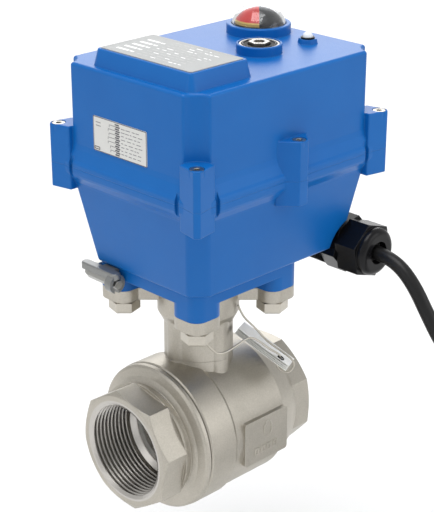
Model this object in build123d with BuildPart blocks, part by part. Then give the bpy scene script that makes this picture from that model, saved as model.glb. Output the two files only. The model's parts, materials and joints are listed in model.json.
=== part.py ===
from build123d import *
from math import acos, atan2, cos, degrees, pi, radians, sin, sqrt, tan
import os

# Motorized ball valve: a stainless two-piece valve, 1 1/2 inch pipe thread, under a quarter-turn actuator.
# Millimetres, +Z up. The origin is the centre of the inlet port's end face, X runs along the pipe
# towards the outlet, and the stem stands on the pipe axis at x = stem_x.

# Valve
valve_length = 98.5
stem_x = valve_length / 2
inlet_crest_radius = 22.42
outlet_crest_radius = 22.70
thread_major_radius = 23.90
thread_pitch = 25.4 / 11
thread_grooves = 9
bore_radius = 19.0
barrel_radius = 35.4
seam_radius = 36.4
seam_x = 23.0
octagon_radius = 30.0
cavity_radius = 29.0
ball_radius = 28.0
neck_radius = 16.5
hub_radius = 19.5
pad_top = 71.0
neck_foot = 37.2
stem_radius = 8.0
square_side = 11.0

# ISO 5211 F07 joint between valve and actuator: four M8 bolts on a 70 mm circle
bolt_offset = 70 / 2 / sqrt(2)
ear_width = 18.0
ear_thickness = 6.0
bolt_radius = 4.0

# Housing
housing_x = stem_x + 15.0
seam_z = 131.6
base_bottom = 84.0
pad_bottom = 78.0
cover_top = 179.6
rim_length = 122.0
rim_width = 94.4
wall_length = 116.2
wall_width = 88.0
screw_dx = 58.8
screw_dy = 45.0
mid_screw_dy = 48.4
ledge_z = 150.1
nose_bottom = 120.0
scallop_radius = 8.8
plateau_top = 187.3

# Gears, all of module 1 with short teeth
module = 1.0
backlash = 0.2
output_teeth = 48
idler_small_teeth = 12
idler_large_teeth = 36
motor_teeth = 12
override_teeth = 13
indicator_teeth = 24
relay_teeth = 36

# Shafts, seen from above, measured from the stem axis
idler_at = (27.2, 12.66)
motor_at = (47.98, 0.66)
override_at = (28.49, -10.89)
relay_at = (25.39, 16.02)
indicator_at = (55.4, 15.2)
running_gap = 0.05

# Cable entry, M20 gland with its axis along -Y
gland_x = stem_x + 66.5
gland_thread_radius = 10.0
gland_z = 83.0
gland_end_y = -54.5
entry_wall_y = -19.6
cable_radius = 3.5

# Hex key clipped beside the mounting pad
key_x = stem_x - 38.6
key_z = 78.1
key_start_y = 12.4
key_long_leg_y = 36.3
key_radius = 2.0

os.makedirs("parts", exist_ok=True)


def save(part, label):
    """Label a finished piece and write it as its own file."""
    part.label = label
    export_step(part, f"parts/{label}.step")


def shaft_spot(offset):
    """A point given from the stem axis, in the part's own frame."""
    return (stem_x + offset[0], offset[1])


def along_pipe(x):
    """A sketch plane across the pipe axis, its own X along +Y and its own Y along +Z."""
    return Plane(origin=(x, 0, 0), x_dir=(0, 1, 0), z_dir=(1, 0, 0))


def pipe_ring(start_x, end_x, outer_radius, inner_radius=0.0):
    """A ring or disc round the pipe axis."""
    with BuildPart() as ring:
        with BuildSketch(along_pipe(start_x)):
            Circle(outer_radius)
            if inner_radius:
                Circle(inner_radius, mode=Mode.SUBTRACT)
        extrude(amount=end_x - start_x)
    return ring.part


def upright_ring(centre, low_z, high_z, outer_radius, inner_radius=0.0):
    """A ring or disc round an upright axis at centre (x, y)."""
    with BuildPart() as ring:
        with BuildSketch(Plane.XY.offset(low_z)):
            with Locations(centre):
                Circle(outer_radius)
                if inner_radius:
                    Circle(inner_radius, mode=Mode.SUBTRACT)
        extrude(amount=high_z - low_z)
    return ring.part


def upright_hexagon(centre, low_z, high_z, across_flats, hole_radius=0.0, turn=0.0):
    """A hexagonal prism round an upright axis, with an optional round hole."""
    with BuildPart() as prism:
        with BuildSketch(Plane.XY.offset(low_z)):
            with Locations(centre):
                RegularPolygon(across_flats / 2, 6, major_radius=False, rotation=turn)
                if hole_radius:
                    Circle(hole_radius, mode=Mode.SUBTRACT)
        extrude(amount=high_z - low_z)
    return prism.part


def revolved(points):
    """A solid of revolution round the pipe axis from an outline of (x, radius) points."""
    with BuildPart() as turned:
        with BuildSketch(Plane.XZ):
            with BuildLine():
                Polyline(*points, close=True)
            make_face()
        revolve(axis=Axis.X)
    return turned.part


# ---------------------------------------------------------------- gears

def involute(angle):
    return tan(angle) - angle


def gear_outline(teeth, centre, phase):
    """One gear's outline; a tooth's middle is at phase degrees."""
    pressure = radians(20)
    pitch_radius = module * teeth / 2
    base_radius = pitch_radius * cos(pressure)
    tip_radius = pitch_radius + 0.75 * module
    root_radius = pitch_radius - module
    flank_start = max(base_radius, root_radius) + 0.001
    half_tooth = pi / (2 * teeth) - backlash / (4 * pitch_radius)

    def spot(radius, angle):
        return (centre[0] + radius * cos(angle), centre[1] + radius * sin(angle))

    def half_angle(radius):
        return half_tooth + involute(pressure) - involute(acos(base_radius / radius))

    middle_radius = (flank_start + tip_radius) / 2
    start, halfway, tip = (half_angle(r) for r in (flank_start, middle_radius, tip_radius))
    with BuildSketch() as outline:
        with BuildLine():
            for tooth in range(teeth):
                middle = radians(phase) + 2 * pi * tooth / teeth
                next_start = middle + 2 * pi / teeth - start
                Line(spot(root_radius, middle - start), spot(flank_start, middle - start))
                ThreePointArc(spot(flank_start, middle - start), spot(middle_radius, middle - halfway),
                              spot(tip_radius, middle - tip))
                Line(spot(tip_radius, middle - tip), spot(tip_radius, middle + tip))
                ThreePointArc(spot(tip_radius, middle + tip), spot(middle_radius, middle + halfway),
                              spot(flank_start, middle + start))
                Line(spot(flank_start, middle + start), spot(root_radius, middle + start))
                Line(spot(root_radius, middle + start), spot(root_radius, next_start))
        make_face()
    return outline.sketch


def gear(teeth, centre, phase, low_z, high_z, bore=0.0):
    """A spur gear with a round bore."""
    with BuildPart() as wheel:
        with BuildSketch(Plane.XY.offset(low_z)):
            add(gear_outline(teeth, centre, phase))
            if bore:
                with Locations(centre):
                    Circle(bore, mode=Mode.SUBTRACT)
        extrude(amount=high_z - low_z)
    return wheel.part


def phase_in_mesh(driver_teeth, driver_at, driver_phase, follower_teeth, follower_at):
    """The follower's phase, in degrees, that puts its gap on the driver's tooth."""
    line = degrees(atan2(follower_at[1] - driver_at[1], follower_at[0] - driver_at[0]))
    offset = (line - driver_phase) * driver_teeth / 360
    return line + 180 + (offset + 0.5) * 360 / follower_teeth


# ---------------------------------------------------------------- valve

def threaded_port(face_x, inward, crest_radius):
    """The space inside a port: chamfer, thread grooves, run-out and cone down to the bore."""
    depth = 1.5 + thread_pitch * thread_grooves
    cone_end = depth + 3.5
    chamfer_depth = 1.0
    outline = [(0, 0), (0, thread_major_radius + 0.2), (chamfer_depth, crest_radius)]
    for groove in range(thread_grooves):
        start = chamfer_depth + 0.15 + groove * thread_pitch
        outline.append((start, crest_radius))
        outline.append((start + 0.85, thread_major_radius))
        outline.append((start + 1.15, thread_major_radius))
        outline.append((start + 2.0, crest_radius))
    outline += [(depth + 1.6, crest_radius), (cone_end, bore_radius + 0.5), (cone_end, 0)]
    return revolved([(face_x + inward * x, radius) for x, radius in outline])


def octagon_end(face_x, inward, length, turn, corner_radius):
    """The spanner end of a port, its corners knocked off at the face."""
    with BuildPart() as end:
        with BuildSketch(along_pipe(face_x)):
            RegularPolygon(corner_radius, 8, rotation=turn)
        extrude(amount=inward * length)
        with BuildSketch(Plane.XZ):
            with BuildLine():
                Polyline((face_x, corner_radius - 2.6), (face_x, corner_radius + 4),
                         (face_x + inward * 3.8, corner_radius + 4), close=True)
            make_face()
        revolve(axis=Axis.X, mode=Mode.SUBTRACT)
    return end.part


def make_end_cap():
    """The screwed-in inlet end: octagon, waist, flange at the seam and spigot inside the body."""
    shell = revolved([(0, 0), (0, 20), (12.5, 20), (12.8, octagon_radius - 0.6), (14.6, octagon_radius - 0.8),
                      (15.6, 28.0), (17.2, 28.0), (18.6, 31.0), (19.6, 34.8), (20.4, 35.9),
                      (seam_x - 0.8, 36.2), (seam_x - 0.25, 35.6), (seam_x - 0.25, 31.9), (35.0, 31.9), (35.0, 0)])
    seat_pocket = pipe_ring(stem_x - 23.1, 36, 27.05)
    bore = pipe_ring(20, 40, bore_radius)
    with BuildPart() as cap:
        add(shell)
        add(octagon_end(0, 1, 13.2, 79.5, octagon_radius))
        add(threaded_port(0, 1, inlet_crest_radius), mode=Mode.SUBTRACT)
        add(bore, mode=Mode.SUBTRACT)
        add(seat_pocket, mode=Mode.SUBTRACT)
    return cap.part


def ear_sketch():
    """The four ears of the top pad in the sketch that is open."""
    for side_x in (-1, 1):
        for side_y in (-1, 1):
            with Locations((stem_x + side_x * bolt_offset, side_y * bolt_offset)):
                RectangleRounded(ear_width, ear_width, 6.0)


def make_valve_casting():
    """The cast body: barrel, outlet end, neck with its lobes, hub and four bolt ears."""
    barrel = revolved([(seam_x, 0), (seam_x, 35.7), (seam_x + 0.7, seam_radius), (38.6, seam_radius),
                       (40.2, barrel_radius), (73.0, barrel_radius), (84.0, 31.6), (87.0, 29.9), (87.0, 0)])
    neck_low = 24.0
    lobe_distance = 11.6
    with BuildPart() as body:
        add(barrel)
        add(octagon_end(valve_length, -1, 14.0, 20, octagon_radius + 0.6))
        with BuildSketch(Plane.XY.offset(neck_low)):
            with Locations((stem_x, 0)):
                Circle(neck_radius)
            with Locations((stem_x, 0)):
                with PolarLocations(lobe_distance, 4):
                    Circle(6.6)
        extrude(amount=60 - neck_low)
        with BuildSketch(Plane.XY.offset(54)):
            with Locations((stem_x, 0)):
                Circle(neck_radius + 0.4)
        with BuildSketch(Plane.XY.offset(59)):
            with Locations((stem_x, 0)):
                Circle(hub_radius)
        loft()
        with BuildSketch(Plane.XY.offset(59)):
            with Locations((stem_x, 0)):
                Circle(hub_radius)
        extrude(amount=pad_top - 59)
        with BuildSketch(Plane.XY.offset(pad_top - ear_thickness)):
            ear_sketch()
            with Locations(Location((stem_x, 0), 45), Location((stem_x, 0), -45)):
                Rectangle(56, 12)
        extrude(amount=ear_thickness)
        # flat pads for the cast marks, one on each side
        with BuildSketch(Plane.XZ.offset(barrel_radius + 0.8)):
            with Locations((stem_x + 10, -1.2)):
                RectangleRounded(29, 23, 1.5)
        extrude(amount=-2 * (barrel_radius + 0.8))
        # holes for the bolts
        with BuildSketch(Plane.XY.offset(pad_top)):
            with Locations((stem_x, 0)):
                with GridLocations(2 * bolt_offset, 2 * bolt_offset, 2, 2):
                    Circle(bolt_radius + 0.4)
        extrude(amount=-2 * ear_thickness, mode=Mode.SUBTRACT)
        # inside, along the pipe
        add(pipe_ring(seam_x - 1, 36.6, 32.0), mode=Mode.SUBTRACT)
        add(pipe_ring(36.0, stem_x + 15, cavity_radius), mode=Mode.SUBTRACT)
        add(pipe_ring(stem_x + 14, stem_x + 23.1, 27.05), mode=Mode.SUBTRACT)
        add(pipe_ring(stem_x + 20, valve_length - 20, bore_radius), mode=Mode.SUBTRACT)
        add(threaded_port(valve_length, -1, outlet_crest_radius), mode=Mode.SUBTRACT)
        # inside the neck: stem shoulder, stem bore, packing chamber, recess for nut and springs
        for low, high, radius in ((20, 34, 11.0), (33, 47, stem_radius + running_gap), (46, 61, 12.0),
                                  (60, pad_top + 1, 15.2)):
            add(upright_ring((stem_x, 0), low, high, radius), mode=Mode.SUBTRACT)
    return body.part


def make_cast_marks():
    """A raised ring and four plain bars, proud of the pad that faces -Y."""
    face_y = barrel_radius + 0.8
    with BuildPart() as marks:
        with BuildSketch(Plane.XZ.offset(face_y)):
            with Locations((stem_x + 11, 3.2)):
                Ellipse(2.9, 4.6)
                Ellipse(2.2, 3.9, mode=Mode.SUBTRACT)
            for step in range(4):
                with Locations((stem_x + 3.5 + 4.2 * step, -6.6)):
                    Rectangle(2.6, 3.6)
                    Rectangle(1.3, 2.2, mode=Mode.SUBTRACT)
        extrude(amount=0.35)
    return marks.part


def make_ball():
    """The ball, bored through, with a slot across its top for the stem."""
    with BuildPart() as ball:
        with Locations((stem_x, 0, 0)):
            Sphere(ball_radius)
        add(pipe_ring(0, valve_length, bore_radius), mode=Mode.SUBTRACT)
        with BuildSketch(Plane.XY.offset(26.5)):
            with Locations((stem_x, 0)):
                Rectangle(60, 60)
        extrude(amount=5, mode=Mode.SUBTRACT)
        with BuildSketch(Plane.XY.offset(21.6)):
            with Locations((stem_x, 0)):
                Rectangle(8.1, 60)
        extrude(amount=8, mode=Mode.SUBTRACT)
    return ball.part


def make_seat(side):
    """A seat ring with its cup facing the ball; side is -1 at the inlet and 1 at the outlet."""
    cup = ball_radius + 0.3
    near, far, inner, outer = 15.0, 23.0, bore_radius + 0.2, 27.0
    with BuildPart() as seat:
        with BuildSketch(Plane.XZ):
            with BuildLine():
                Polyline((sqrt(cup**2 - inner**2), inner), (far, inner), (far, outer), (near, outer),
                         (near, sqrt(cup**2 - near**2)))
                ThreePointArc((near, sqrt(cup**2 - near**2)), (18.0, sqrt(cup**2 - 18.0**2)),
                              (sqrt(cup**2 - inner**2), inner))
            make_face()
        revolve(axis=Axis.X)
    if side > 0:
        return Pos(stem_x, 0, 0) * seat.part
    return Pos(stem_x, 0, 0) * Rot(0, 0, 180) * seat.part


def make_stem():
    """The stem: blade in the ball's slot, shoulder, shaft, thread for the nut and square top."""
    with BuildPart() as stem:
        with BuildSketch(Plane.XY.offset(21.8)):
            with Locations((stem_x, 0)):
                Rectangle(8.0, 17.0)
        extrude(amount=8)
        add(upright_ring((stem_x, 0), 29.2, 32.4, 10.6))
        add(upright_ring((stem_x, 0), 32.0, 71.0, stem_radius))
        with BuildSketch(Plane.XY.offset(70.8)):
            with Locations((stem_x, 0)):
                Rectangle(square_side, square_side)
        extrude(amount=16)
    return stem.part


def make_disc_springs():
    """Two conical spring washers that keep the packing tight, back to back."""
    rings = []
    for low, rise in ((62.4, 0.9), (64.6, -0.9)):
        with BuildPart() as cone:
            with BuildSketch(Plane.XZ):
                with BuildLine():
                    Polyline((8.2, low + max(rise, 0)), (11.6, low + max(-rise, 0)),
                             (11.6, low + 0.6 + max(-rise, 0)), (8.2, low + 0.6 + max(rise, 0)), close=True)
                make_face()
            revolve(axis=Axis.Z)
        rings.append(Pos(stem_x, 0, 0) * cone.part)
    return Compound(children=rings)


# ---------------------------------------------------------------- housing

def column_outline(side_x, side_y):
    """A corner screw column seen from above: a narrow nose outwards, flanks back to the walls."""
    nose_out, nose_half = 3.9 / sqrt(2), 1.45 / sqrt(2)
    outline = [(nose_out + nose_half, nose_out - nose_half), (nose_out - nose_half, nose_out + nose_half),
               (-9.0, 1.6), (-9.0, -9.0), (1.6, -9.0)]
    centre_x = housing_x + side_x * screw_dx
    centre_y = side_y * screw_dy
    with BuildSketch() as column:
        with BuildLine():
            Polyline(*[(centre_x + side_x * x, centre_y + side_y * y) for x, y in outline], close=True)
        make_face()
    return column.sketch


def mid_boss_outline(side_y):
    """The screw boss in the middle of a long side, seen from above."""
    outer_y = mid_screw_dy + 3.4
    root_y = rim_width / 2 - 6
    with BuildSketch() as boss:
        with BuildLine():
            Polyline((housing_x - 2.6, side_y * outer_y), (housing_x + 2.6, side_y * outer_y),
                     (housing_x + 9.4, side_y * (wall_width / 2)), (housing_x + 9.4, side_y * root_y),
                     (housing_x - 9.4, side_y * root_y), (housing_x - 9.4, side_y * (wall_width / 2)), close=True)
        make_face()
    return boss.sketch


def column(outline, low_z, high_z, rounded_end):
    """A prism on one outline with soft corners; rounded_end is 1 for its top, -1 for its bottom."""
    with BuildPart() as prism:
        with BuildSketch(Plane.XY.offset(low_z)) as base:
            add(outline)
            fillet(base.vertices(), 0.7)
        extrude(amount=high_z - low_z)
        end_face = prism.faces().sort_by(Axis.Z)[-1 if rounded_end > 0 else 0]
        fillet(end_face.edges(), 0.6)
    return prism.part


def screw_columns(low_z, high_z, rounded_end):
    """The four corner columns and two middle bosses between two heights."""
    outlines = [column_outline(side_x, side_y) for side_x in (-1, 1) for side_y in (-1, 1)]
    outlines += [mid_boss_outline(side_y) for side_y in (-1, 1)]
    with BuildPart() as columns:
        for outline in outlines:
            add(column(outline, low_z, high_z, rounded_end))
    return columns.part


def screw_places():
    corners = [(housing_x + sx * screw_dx, sy * screw_dy) for sx in (-1, 1) for sy in (-1, 1)]
    return corners + [(housing_x, mid_screw_dy), (housing_x, -mid_screw_dy)]


def box_loft(levels, corner_radius):
    """A tapering rounded box through (z, length, width) levels, centred on the housing."""
    with BuildPart() as box:
        for (low_z, low_length, low_width), (high_z, high_length, high_width) in zip(levels, levels[1:]):
            with BuildSketch(Plane.XY.offset(low_z)):
                with Locations((housing_x, 0)):
                    RectangleRounded(low_length, low_width, corner_radius)
            with BuildSketch(Plane.XY.offset(high_z)):
                with Locations((housing_x, 0)):
                    RectangleRounded(high_length, high_width, corner_radius)
            loft()
    return box.part


def tray_level(z, length, width):
    """One level of the base tray: a rectangle with flat corners, its edges slightly rounded."""
    with BuildSketch(Plane.XY.offset(z)) as level:
        with Locations((housing_x, 0)):
            Rectangle(length, width)
        chamfer(level.vertices(), 7.0)
        fillet(level.vertices(), 2.2)
    return level.sketch


def tray(levels):
    """The base tray's outside through (z, length, width) levels."""
    with BuildPart() as solid:
        for low, high in zip(levels, levels[1:]):
            for level in (low, high):
                add(tray_level(*level))
            loft()
    return solid.part


def rim_slots(low_z, high_z, outward):
    """Narrow upright recesses in the rim beside each corner column; recess_floor is measured from the wall."""
    recess_floor = 1.4
    with BuildPart() as slots:
        for side_x in (-1, 1):
            for side_y in (-1, 1):
                for along_x in (True, False):
                    if along_x:
                        centre = (housing_x + side_x * (screw_dx - 10.2), side_y * (wall_width / 2 + recess_floor + outward))
                        size = (2.4, 2 * outward)
                    else:
                        centre = (housing_x + side_x * (wall_length / 2 + recess_floor + outward), side_y * (screw_dy - 10.2))
                        size = (2 * outward, 2.4)
                    with BuildSketch(Plane.XY.offset(low_z)):
                        with Locations(centre):
                            Rectangle(*size)
                    extrude(amount=high_z - low_z)
    return slots.part


def gland_notch(grow=0.0):
    """The space cut out of the base's lower corner for the cable gland, grown all round by grow."""
    radius = 15.4 + grow
    ceiling = 16.6 + grow
    with BuildPart() as notch:
        with BuildSketch(Plane.XZ.offset(-entry_wall_y - grow)):
            with Locations((gland_x, gland_z)):
                Circle(radius)
            with Locations((gland_x + 15, gland_z + ceiling / 2 - 10)):
                Rectangle(30, ceiling + 20)
            with Locations((gland_x + 15 - radius / 2, gland_z - 10)):
                Rectangle(30 + radius, 20)
        extrude(amount=40)
    return notch.part


def make_base_housing():
    """The lower shell: tray, bearing boss, mounting bosses below and cable entry at the outlet end."""
    outer = tray([(base_bottom, 101.2, 73.6), (122.3, 114.0, 86.8)])
    band = tray([(122.3, 114.0, 86.8), (123.4, 114.6, 87.4), (127.3, 120.8, 93.2), (128.6, 121.8, 94.2),
                 (130.0, rim_length, rim_width), (seam_z, rim_length, rim_width)])
    inner = box_loft([(88.0, 93.0, 65.6), (122.3, 106.5, 79.6), (seam_z + 1, 106.5, 79.6)], 6.0)
    entry_pocket_end = -2.0
    with BuildPart() as cavity:
        add(inner)
        add(gland_notch(3.0), mode=Mode.SUBTRACT)
    with BuildPart() as base:
        add(outer)
        fillet(base.faces().sort_by(Axis.Z)[0].edges(), 1.8)
        add(band)
        add(screw_columns(nose_bottom, seam_z, -1))
        add(cavity.part, mode=Mode.SUBTRACT)
        add(rim_slots(123.5, seam_z, 4.0), mode=Mode.SUBTRACT)
        # mounting pad, bolt bosses and bearing boss
        with BuildSketch(Plane.XY.offset(pad_bottom)):
            with Locations((stem_x, 0)):
                RectangleRounded(2 * bolt_offset + ear_width, 2 * bolt_offset + ear_width, 6.0)
                Rectangle(46, 46, mode=Mode.SUBTRACT)
        extrude(amount=base_bottom - pad_bottom + 1)
        with BuildSketch(Plane.XY.offset(pad_top)):
            ear_sketch()
        extrude(amount=base_bottom - pad_top + 1)
        add(upright_ring((stem_x, 0), 73.0, 92.0, 18.6))
        add(upright_ring((stem_x, 0), 72.0, 93.0, 15.0), mode=Mode.SUBTRACT)
        with BuildSketch(Plane.XY.offset(pad_top - 1)):
            with Locations((stem_x, 0)):
                with GridLocations(2 * bolt_offset, 2 * bolt_offset, 2, 2):
                    Circle(bolt_radius + 0.03)
        extrude(amount=14.5, mode=Mode.SUBTRACT)
        # cable entry: the notch, then a round pocket whose front wall carries the gland
        add(gland_notch(), mode=Mode.SUBTRACT)
        with BuildSketch(Plane.XZ.offset(-entry_wall_y)):
            with Locations((gland_x, gland_z)):
                Circle(13.0)
        extrude(amount=entry_wall_y - entry_pocket_end)
        with BuildSketch(Plane.XZ.offset(-entry_wall_y + 1)):
            with Locations((gland_x, gland_z)):
                Circle(gland_thread_radius + running_gap)
        extrude(amount=entry_wall_y - entry_pocket_end + 2, mode=Mode.SUBTRACT)
        with BuildSketch(Plane.XZ.offset(-entry_wall_y - 6)):
            with Locations((gland_x - 7.0, gland_z + 7.0)):
                Rectangle(14.0, 10.0)
        extrude(amount=entry_wall_y - entry_pocket_end + 7, mode=Mode.SUBTRACT)
        for place in screw_places():
            add(upright_ring(place, nose_bottom + 1.5, seam_z + 1, 1.75), mode=Mode.SUBTRACT)
        # groove for the cover gasket
        add(gasket_ring(seam_z - 1.0, seam_z + 0.5, 2.0), mode=Mode.SUBTRACT)
    return base.part


def gasket_ring(low_z, high_z, thickness):
    """The seal's path round the seam, with a given thickness across."""
    length = 113.6
    width = 86.2
    with BuildPart() as ring:
        with BuildSketch(Plane.XY.offset(low_z)):
            with Locations((housing_x, 0)):
                RectangleRounded(length + thickness, width + thickness, 12 + thickness / 2)
                RectangleRounded(length - thickness, width - thickness, 12 - thickness / 2, mode=Mode.SUBTRACT)
        extrude(amount=high_z - low_z)
    return ring.part


def plateau():
    """The raised label panel on the cover, with sloping sides and soft edges."""
    with BuildPart() as panel:
        with BuildSketch(Plane.XY.offset(plateau_top)):
            with Locations((stem_x - 21.0, -5.8)):
                RectangleRounded(34.0, 59.6, 2.0)
        extrude(amount=-(plateau_top - cover_top + 0.5), taper=-14)
        fillet(panel.faces().sort_by(Axis.Z)[-1].edges(), 0.7)
    return panel.part


def collar(centre, top_z, radius):
    """A round collar on the cover with a soft outer edge."""
    with BuildPart() as ring:
        add(upright_ring(centre, cover_top - 1, top_z, radius))
        fillet(ring.faces().sort_by(Axis.Z)[-1].edges(), 0.6)
    return ring.part


def make_top_cover():
    """The upper shell: walls, flared rim, scallops over the screws, label plateau and three collars."""
    wall_inner_length = wall_length - 6
    wall_inner_width = wall_width - 6
    dome = shaft_spot(indicator_at)
    override = shaft_spot(override_at)
    lamp = (stem_x + 56.0, -15.5)
    with BuildPart() as cover:
        with BuildSketch(Plane.XY.offset(seam_z)):
            with Locations((housing_x, 0)):
                RectangleRounded(wall_length, wall_width, 4.0)
        extrude(amount=cover_top - seam_z)
        for place in screw_places()[:4]:
            add(upright_ring(place, ledge_z, cover_top + 1, scallop_radius), mode=Mode.SUBTRACT)
        fillet(cover.edges().filter_by(Axis.Z).filter_by(lambda edge: edge.length < 40), 1.2)
        fillet(cover.faces().sort_by(Axis.Z)[-1].edges(), 1.5)
        add(box_loft([(seam_z, rim_length, rim_width), (133.4, rim_length, rim_width), (134.3, 121.4, 93.8),
                      (135.4, 120.0, 92.2), (139.8, 117.0, 89.0), (142.4, wall_length, wall_width)], 5.0))
        add(screw_columns(seam_z, ledge_z, 1))
        add(rim_slots(seam_z, 142, 4.0), mode=Mode.SUBTRACT)
        add(plateau())
        # collars for the indicator dome, the override and the lamp
        add(collar(dome, 184.2, 15.35))
        add(collar(override, 184.0, 10.5))
        with BuildSketch(Plane.XY.offset(cover_top - 0.5)):
            with Locations(lamp):
                RegularPolygon(4.9, 6)
        extrude(amount=2.7, taper=12)
        # inside
        with BuildSketch(Plane.XY.offset(seam_z)):
            with Locations((housing_x, 0)):
                RectangleRounded(wall_inner_length, wall_inner_width, 3.0)
            with Locations(*screw_places()[:4]):
                Circle(scallop_radius + 2.8, mode=Mode.SUBTRACT)
        extrude(amount=cover_top - 3 - seam_z, mode=Mode.SUBTRACT)
        with BuildSketch(Plane.XY.offset(cover_top - 3.5)):
            with Locations((stem_x - 21.0, -5.8)):
                RectangleRounded(29.0, 54.6, 2.0)
        extrude(amount=plateau_top - cover_top + 1.0, mode=Mode.SUBTRACT)
        # shaft holes and seats in the collars
        add(upright_ring(dome, 181.2, 185, 13.25), mode=Mode.SUBTRACT)
        add(upright_ring(dome, 175, 185, 4.0 + running_gap), mode=Mode.SUBTRACT)
        add(upright_ring(override, 181.0, 185, 9.5), mode=Mode.SUBTRACT)
        add(upright_ring(override, 175, 185, 3.5 + running_gap), mode=Mode.SUBTRACT)
        add(upright_ring(lamp, 170, 185, 2.45), mode=Mode.SUBTRACT)
        for place in screw_places():
            add(upright_ring(place, seam_z - 1, ledge_z + 1, 1.9), mode=Mode.SUBTRACT)
            add(upright_ring(place, ledge_z - 3.2, ledge_z + 1, 3.2), mode=Mode.SUBTRACT)
    return cover.part


def make_cover_screws():
    """Six socket-head screws, heads sunk in the columns."""
    screws = []
    for place in screw_places():
        with BuildPart() as screw:
            add(upright_ring(place, nose_bottom + 2.0, ledge_z - 3.2, 1.75))
            add(upright_ring(place, ledge_z - 3.2, ledge_z - 0.2, 3.0))
            add(upright_hexagon(place, ledge_z - 1.8, ledge_z, 2.5), mode=Mode.SUBTRACT)
        screws.append(screw.part)
    return Compound(children=screws)


def bolt_places():
    return [(stem_x + sx * bolt_offset, sy * bolt_offset) for sx in (-1, 1) for sy in (-1, 1)]


def make_mounting_bolts():
    """Four M8 hexagon bolts up through the ears into the base."""
    ear_bottom = pad_top - ear_thickness
    bolts = []
    for place in bolt_places():
        with BuildPart() as bolt:
            add(upright_hexagon(place, ear_bottom - 7.2, ear_bottom - 1.9, 13.0, turn=15))
            add(upright_ring(place, ear_bottom - 2.0, 83.0, bolt_radius))
            edges = bolt.faces().sort_by(Axis.Z)[0].edges()
            chamfer(edges, 0.7)
        bolts.append(bolt.part)
    return Compound(children=bolts)


# ---------------------------------------------------------------- drive

def make_drive_sleeve():
    """The output drive: square socket over the stem, bearing journal, gear seat and cam shaft."""
    centre = (stem_x, 0)
    with BuildPart() as sleeve:
        add(upright_ring(centre, 71.8, 93.4, 13.0))
        add(upright_ring(centre, 93.2, 102.0, 9.0))
        add(upright_ring(centre, 101.8, 158.0, 6.0))
        with BuildSketch(Plane.XY.offset(71.0)):
            with Locations(centre):
                Rectangle(square_side + 0.1, square_side + 0.1)
        extrude(amount=17, mode=Mode.SUBTRACT)
    return sleeve.part


def make_gear_plate():
    """The steel plate over the gears, with a bearing hole for each shaft."""
    holes = [((stem_x, 0), 6.0 + running_gap), (shaft_spot(idler_at), 2.5),
             (shaft_spot(motor_at), 5.0), (shaft_spot(override_at), 3.5 + running_gap)]
    with BuildPart() as plate:
        with BuildSketch(Plane.XY.offset(108)):
            with Locations((housing_x, 0)):
                RectangleRounded(98, 71, 6)
            for centre, radius in holes:
                with Locations(centre):
                    Circle(radius, mode=Mode.SUBTRACT)
            with Locations(*post_places()):
                Circle(1.6, mode=Mode.SUBTRACT)
        extrude(amount=2)
    return plate.part


def post_places():
    return [(housing_x + dx, dy) for dx in (-41, 41) for dy in (-28, 28) if (dx, dy) != (41, -28)]


def make_plate_posts():
    """Posts from the base floor that carry the gear plate, each with its screw on top."""
    posts = []
    for place in post_places():
        with BuildPart() as post:
            add(upright_ring(place, 88.0, 108.0, 3.4))
            add(upright_ring(place, 107.0, 110.0, 1.55))
            add(upright_ring(place, 110.0, 112.2, 2.8))
        posts.append(post.part)
    return Compound(children=posts)


def make_cam(low_z, notch_angle):
    """A cam disc with one notch that lets its switch spring out."""
    with BuildPart() as cam:
        with BuildSketch(Plane.XY.offset(low_z)):
            with Locations((stem_x, 0)):
                Circle(12.0)
                Circle(6.0, mode=Mode.SUBTRACT)
                with PolarLocations(12.6, 1, start_angle=notch_angle):
                    Circle(2.6, mode=Mode.SUBTRACT)
        extrude(amount=5)
        add(upright_ring((stem_x, 0), low_z + 4.5, low_z + 7, 8.5, 6.0))
    return cam.part


def make_limit_switches():
    """Two microswitches on posts, one beside each cam, with lever and roller."""
    switch_x = stem_x - 21.5
    switches = []
    for low_z in (113.4, 121.4):
        with BuildPart() as switch:
            with BuildSketch(Plane.XY.offset(low_z)):
                with Locations((switch_x, 0)):
                    RectangleRounded(10.2, 20.0, 0.8)
            extrude(amount=6.2)
            with BuildSketch(Plane.XY.offset(low_z + 1.4)):
                with Locations((switch_x + 6.2, 1.0)):
                    Rectangle(0.6, 18.0)
                with Locations((switch_x + 5.5, -7.0)):
                    Rectangle(1.6, 1.6)
                with Locations((switch_x + 7.2, 8.5)):
                    Circle(1.7)
            extrude(amount=3.4)
        switches.append(switch.part)
    with BuildPart() as stand:
        with BuildSketch(Plane.XY.offset(110)):
            with Locations((switch_x - 6.3, 0)):
                Rectangle(2.0, 22.0)
            with Locations((switch_x - 1.3, 0)):
                Rectangle(8.0, 14.0)
        extrude(amount=3.4)
        with BuildSketch(Plane.XY.offset(113)):
            with Locations((switch_x - 6.3, 0)):
                Rectangle(2.0, 22.0)
        extrude(amount=16)
    return Compound(children=switches + [stand.part])


def make_gear_motor():
    """The gearmotor: geared lower case, motor can, rear boss and its bore for the pinion shaft."""
    centre = shaft_spot(motor_at)
    with BuildPart() as motor:
        add(upright_ring(centre, 110.0, 124.0, 17.0))
        add(upright_ring(centre, 124.0, 146.0, 15.6))
        add(upright_ring(centre, 146.0, 148.0, 6.0))
        add(upright_ring(centre, 109.0, 122.0, 2.5 + running_gap), mode=Mode.SUBTRACT)
    return motor.part


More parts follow.
